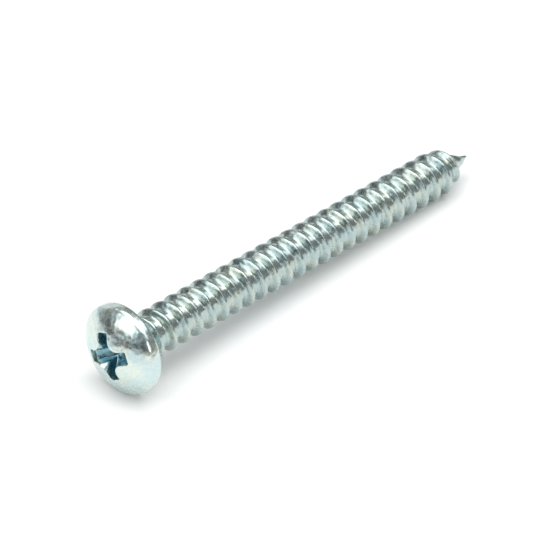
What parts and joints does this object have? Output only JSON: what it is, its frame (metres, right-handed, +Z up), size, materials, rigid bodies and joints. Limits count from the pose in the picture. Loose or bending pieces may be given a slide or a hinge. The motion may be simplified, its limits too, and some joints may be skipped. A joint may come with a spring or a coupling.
{
  "type": "screw",
  "caption": "Pan head tapping screw with a cross recess, threaded from under the head to a gimlet point, for fastening sheet metal, plastic and wood.",
  "frame": {"origin": "centre of the screw's box on the surface that it lies on", "axes": "+X along the screw, from the head towards the point, +Z up from the surface; the screw's own axis lies in the XZ plane and drops 3.17 degrees towards the point"},
  "size_m": [0.0374, 0.007, 0.007],
  "materials": {
    "zinc_plated_steel": "bright zinc plating, satin with small scuffs"
  },
  "bodies": {
    "root": {"screw": "zinc_plated_steel"}
  },
  "joints": []
}
